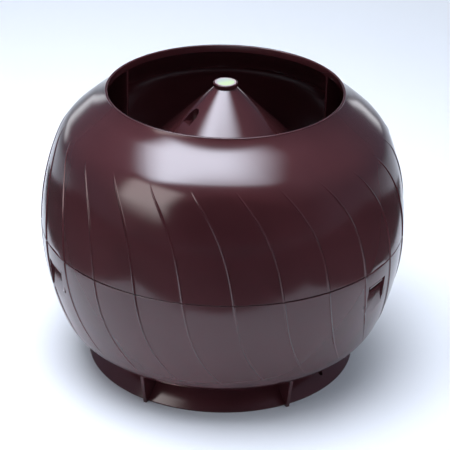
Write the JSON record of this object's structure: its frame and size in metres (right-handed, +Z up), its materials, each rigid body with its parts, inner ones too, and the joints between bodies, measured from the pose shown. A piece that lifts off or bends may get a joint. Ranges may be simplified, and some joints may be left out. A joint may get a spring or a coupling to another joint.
{
  "type": "static vent cowl",
  "caption": "Static vent cowl: round bulb of ribbed plastic shells with an open top mouth, a rain cone hung inside and a finned, flared collar with a socket for a duct.",
  "frame": {"origin": "centre of the collar's foot, in the plane on which the cowl stands", "axes": "+Z up along the socket's bore and the cowl's axis, -Y towards the front web, where the picture is taken from, +X to the right seen from there"},
  "size_m": [0.3102, 0.3102, 0.2497],
  "materials": {
    "shell_plastic": "smooth gloss, dark maroon brown, moulded through",
    "screw_steel": "bright plated steel",
    "disc_film": "plain pale green disc with a white field"
  },
  "bodies": {
    "root": {"mounting_collar": "shell_plastic", "lower_shell": "shell_plastic", "collar_screws": "screw_steel", "upper_shell": "shell_plastic", "rain_cone": "shell_plastic", "cone_screws": "screw_steel", "cone_cap": "shell_plastic", "cap_disc": "disc_film"}
  },
  "joints": []
}
